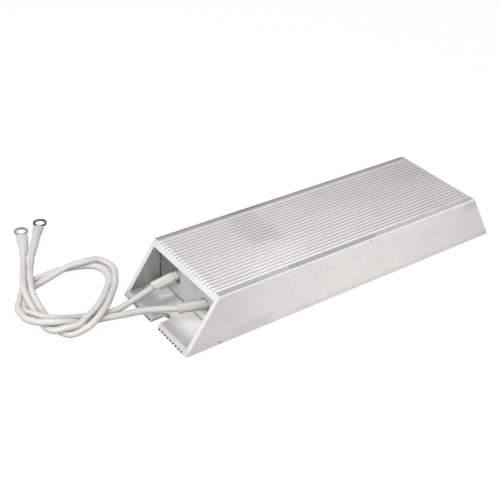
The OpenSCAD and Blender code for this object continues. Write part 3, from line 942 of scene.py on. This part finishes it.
# woven pieces: tones, painted shade on what faces down, the stretch next to the housing that is duller, and
# the weave
# dullFrom gives in mm along where the dull stretch is over and where it starts to fade,
# and dullTop how much of it stays on what faces up
fibre = {
    "lead": {
        "pale": (0.695, 0.688, 0.662), "deep": (0.585, 0.578, 0.553), "under": (0.36, 0.357, 0.34),
        "dull": (0.545, 0.54, 0.515), "dullFrom": (75.0, 35.0), "dullTop": 1.0,
        "turns": 6, "pitch": 400.0, "ticks": 0.35,
    },
    "frontSleeve": {
        "pale": (0.58, 0.573, 0.543), "deep": (0.47, 0.465, 0.437), "under": (0.33, 0.327, 0.305),
        "dull": (0.40, 0.396, 0.375), "dullFrom": (8.0, 4.0), "dullTop": 0.1,
        "turns": 5, "pitch": 300.0, "ticks": 0.08,
    },
    "rearSleeve": {
        "pale": (0.64, 0.634, 0.60), "deep": (0.50, 0.495, 0.468), "under": (0.30, 0.298, 0.28),
        "dull": (0.56, 0.56, 0.535), "dullFrom": (4.0, 1.0), "dullTop": 1.0,
        "turns": 5, "pitch": 300.0, "ticks": 0.08,
    },
}

# what all woven pieces share
weaving = {
    "strands": 0.7,
    "tickPitch": 1.4,
    "tickTurns": 3,
    "fuzz": (900.0, 4.0, 0.7),
    "wide": (90.0, 2.0),
    "fuzzy": 0.6,
    "paleFrom": (-0.9, 1.0),
    "stains": (0.55, 0.8, 0.4),
    "dull": 0.8,
    "facingUp": (0.2, 0.85),
    "rough": 0.68,
    "roughFuzz": 0.2,
    "bumpWeave": 0.7,
    "bumpFuzz": 0.5,
    "bump": (0.25, 0.0002),
}


# lengthwise strands with slanting ticks across them
def fibreFinish(name):
    s, w = fibre[name], weaving
    constants = {"Specular IOR Level": 0.25, "Sheen Weight": 0.1, "Sheen Roughness": 0.5}
    f = Finish("fibreglass." + name, constants)
    along, turn, _ = f.split(f.around())
    nz = f.split(f.facing())[2]
    full = 2 * math.pi
    strands = f.wave(turn * (full * s["turns"]) + along * (full * s["turns"] / s["pitch"]))
    ticks = f.wave(along * (full / w["tickPitch"]) + turn * (full * w["tickTurns"]))
    weave = strands * w["strands"] + ticks * s["ticks"]
    fuzz = f.cloud(f.place(), *w["fuzz"])
    wide = f.cloud(f.place(), *w["wide"])
    tone = f.blend(f.rise(weave + fuzz * w["fuzzy"], *w["paleFrom"]), s["deep"], s["pale"])
    tone = f.blend(f.share(wide, *w["stains"]), tone, s["deep"])
    over, fades = s["dullFrom"]
    # with a low dullTop, as on the front sleeve, the dull stretch stays mostly on what faces down, as
    # painted shade
    dull = f.fall(along, fades, over) * (1 - f.rise(nz, *w["facingUp"]) * (1 - s["dullTop"]))
    tone = f.blend(dull * w["dull"], tone, s["dull"])
    # painted shade on what faces down
    f.colour(f.blend(underside(f, nz), tone, s["under"]))
    f.roughness(w["rough"] + w["roughFuzz"] * fuzz)
    f.bump(weave * w["bumpWeave"] + fuzz * w["bumpFuzz"], *w["bump"])
    return f.material


shaded = {"facing": (-0.6, 0.85), "most": 0.85}


# painted shade: 0 on what faces up, towards 1 on what faces down
def underside(f, nz):
    return f.fall(nz, *shaded["facing"]) * shaded["most"]


# white shrunk sleeves, with painted shade on what faces down
shrunk = {
    "pale": (0.66, 0.654, 0.63),
    "deep": (0.565, 0.56, 0.535),
    "under": (0.39, 0.386, 0.37),
    "fine": 600.0,
    "wide": (120, 120, 300),
    "deepFrom": (0.4, 0.75),
    "rough": 0.5,
    "roughFine": 0.2,
    "bumpWide": 0.7,
    "bumpFine": 0.3,
    "bump": (0.15, 0.0003),
}


def shrunkFinish():
    s = shrunk
    f = Finish("shrunkSleeve", {"Specular IOR Level": 0.3})
    fine = f.cloud(f.place(), s["fine"])
    wide = f.cloud(f.stretched(f.place(), s["wide"]), 1.0)
    tone = f.blend(f.rise(wide, *s["deepFrom"]), s["pale"], s["deep"])
    # painted shade on what faces down
    f.colour(f.blend(underside(f, f.split(f.facing())[2]), tone, s["under"]))
    f.roughness(s["rough"] + s["roughFine"] * fine)
    f.bump(wide * s["bumpWide"] + fine * s["bumpFine"], *s["bump"])
    return f.material


# the rear ring terminal is a darker copy of the front one's metal, as painted shade
metals = {
    "ringFront": {"pale": (0.40, 0.40, 0.39), "deep": (0.20, 0.20, 0.20), "rough": 0.32, "metal": 0.9},
    "ringRearShaded": {"pale": (0.17, 0.17, 0.17), "deep": (0.05, 0.05, 0.05), "rough": 0.32, "metal": 0.9},
    "tin": {"pale": (0.50, 0.50, 0.50), "deep": (0.26, 0.26, 0.26), "rough": 0.32, "metal": 0.9},
    "steel": {"pale": (0.46, 0.46, 0.45), "deep": (0.32, 0.32, 0.31), "rough": 0.38, "metal": 0.9},
    "wire": {"pale": (0.24, 0.23, 0.22), "deep": (0.13, 0.12, 0.12), "rough": 0.5, "metal": 0.8},
}

# what all metal pieces share
metalGrain = {
    "fine": (1500.0, 4.0, 0.6),
    "wide": 260.0,
    "deepFrom": (0.35, 0.7),
    "roughFine": 0.16,
    "bump": (0.08, 0.0001),
}


def metalFinish(name):
    m, g = metals[name], metalGrain
    f = Finish("metal." + name, {"Metallic": m["metal"]})
    fine = f.cloud(f.place(), *g["fine"])
    wide = f.cloud(f.place(), g["wide"])
    f.colour(f.blend(f.rise(wide, *g["deepFrom"]), m["pale"], m["deep"]))
    f.roughness(m["rough"] + g["roughFine"] * fine)
    f.bump(fine, *g["bump"])
    return f.material


minerals = {
    "mica": {"pale": (0.62, 0.62, 0.60), "deep": (0.46, 0.46, 0.44), "scale": 220.0, "rough": 0.35},
    "cement": {"pale": (0.64, 0.61, 0.55), "deep": (0.48, 0.45, 0.40), "scale": 380.0, "rough": 0.85},
    "ceramic": {"pale": (0.84, 0.81, 0.74), "deep": (0.74, 0.70, 0.63), "scale": 160.0, "rough": 0.6},
}

# what all mineral pieces share
mineralGrain = {"detail": (5.0, 0.65), "deepFrom": (0.35, 0.7), "roughGrain": 0.12, "bump": (0.2, 0.0003)}


def mineralFinish(name):
    m, g = minerals[name], mineralGrain
    f = Finish("mineral." + name, {"Specular IOR Level": 0.35})
    grain = f.cloud(f.place(), m["scale"], *g["detail"])
    f.colour(f.blend(f.rise(grain, *g["deepFrom"]), m["pale"], m["deep"]))
    f.roughness(m["rough"] + g["roughGrain"] * grain)
    f.bump(grain, *g["bump"])
    return f.material


def dress(material, *objects):
    for piece in objects:
        piece.data.materials.clear()
        piece.data.materials.append(material)


steelNodes = (
    "lead_band_front", "lead_band_rear", "far_band_front", "far_band_rear",
    "link_strap", "terminal_lug_front", "terminal_lug_rear",
)
leadPieces = (pieces["lead", "front"], pieces["lead", "rear"], nodes["lead_front"], nodes["lead_rear"])
dress(aluminiumFinish(), nodes["housing"])
dress(boardFinish(), nodes["lead_end_plate"], nodes["far_end_plate"])
dress(fibreFinish("lead"), *leadPieces)
dress(fibreFinish("frontSleeve"), pieces["exitSleeve", "front"])
dress(fibreFinish("rearSleeve"), pieces["exitSleeve", "rear"])
dress(shrunkFinish(), pieces["terminalSleeve", "front"], pieces["terminalSleeve", "rear"])
dress(metalFinish("ringFront"), nodes["ring_terminal_front"])
dress(metalFinish("ringRearShaded"), nodes["ring_terminal_rear"])
dress(metalFinish("tin"), nodes["splice_front"], nodes["splice_rear"])
dress(metalFinish("wire"), nodes["winding_front"], nodes["winding_rear"])
dress(metalFinish("steel"), *(nodes[name] for name in steelNodes))
dress(mineralFinish("mica"), nodes["mica_liner"])
dress(mineralFinish("cement"), nodes["filler"])
dress(mineralFinish("ceramic"), nodes["core_front"], nodes["core_rear"])
print("finishes set")


# floor, world and lamp; the floor is dark under the housing as painted shade, but not in the open notches
studio = {
    "floorSize": 6.0,
    "floorColour": (0.6, 0.6, 0.6),
    # painted shade on the floor under the housing
    "underColour": (0.04, 0.04, 0.04),
    "underX": (0.1072, 0.1075),
    "underY": (0.0296, 0.0299),
    "notchX": (0.0978, 0.0984),
    "notchY": (0.0030, 0.0033),
    "shadowShare": 0.12,  # share of its own shading that the floor shows
    "glow": 1.06,  # strength of its white
    "fill": 0.6,  # strength of the world's light on the object
    "key": {"place": (-0.75, -0.55, 0.9), "aim": (-0.05, 0, 0.01), "size": 1.5, "power": 15.5},
}


def addFloor():
    s = studio
    half = s["floorSize"] / 2
    corners = [(-half, -half, 0), (half, -half, 0), (half, half, 0), (-half, half, 0)]
    mesh = bpy.data.meshes.new("floor")
    mesh.from_pydata(corners, [], [(0, 1, 2, 3)])
    floor = bpy.data.objects.new("floor", mesh)
    scene.collection.objects.link(floor)
    f = Finish("paleFloor", {"Roughness": 0.9, "Specular IOR Level": 0.1})
    path = f.tree.nodes.new("ShaderNodeLightPath")
    seen = f.larger(Wire(f, path.outputs["Is Camera Ray"]), Wire(f, path.outputs["Is Glossy Ray"]))
    x, y, _ = f.split(f.place())
    under = f.fall(abs(x), *s["underX"]) * f.fall(abs(y), *s["underY"])
    opening = f.fall(abs(y), *s["notchY"]) * f.rise(abs(x), *s["notchX"])
    dark = under * (1 - opening)
    f.colour(f.blend(dark, s["floorColour"], s["underColour"]))
    lit = seen * (1 - s["shadowShare"]) * (1 - dark)
    glow = f.node("ShaderNodeEmission", {}, {"Color": (1, 1, 1, 1), "Strength": s["glow"]})
    mixed = f.node("ShaderNodeMixShader", {}, {0: lit, 1: Wire(f, f.shader.outputs[0]), 2: glow})
    f.feed(f.tree.nodes["Material Output"].inputs["Surface"], mixed)
    dress(f.material, floor)


def addWorld():
    world = bpy.data.worlds.new("studio")
    scene.world = world
    world.use_nodes = True
    tree = world.node_tree
    back = tree.nodes["Background"]
    back.inputs["Color"].default_value = (1, 1, 1, 1)
    path = tree.nodes.new("ShaderNodeLightPath")
    span = tree.nodes.new("ShaderNodeMapRange")
    span.inputs["To Min"].default_value = studio["fill"]
    span.inputs["To Max"].default_value = 1.0
    both = tree.nodes.new("ShaderNodeMath")
    both.operation = "MAXIMUM"
    tree.links.new(path.outputs["Is Camera Ray"], both.inputs[0])
    tree.links.new(path.outputs["Is Glossy Ray"], both.inputs[1])
    tree.links.new(both.outputs[0], span.inputs["Value"])
    tree.links.new(span.outputs[0], back.inputs["Strength"])


def addLamp(name, lamp):
    data = bpy.data.lights.new(name, "AREA")
    data.shape = "DISK"
    data.size = lamp["size"]
    data.energy = lamp["power"]
    light = bpy.data.objects.new(name, data)
    light.location = lamp["place"]
    way = Vector(lamp["aim"]) - Vector(lamp["place"])
    light.rotation_euler = way.to_track_quat("-Z", "Y").to_euler()
    scene.collection.objects.link(light)


addFloor()
addWorld()
addLamp("key", studio["key"])
scene.view_settings.view_transform = "Standard"
print("studio set")

bpy.context.view_layer.update()
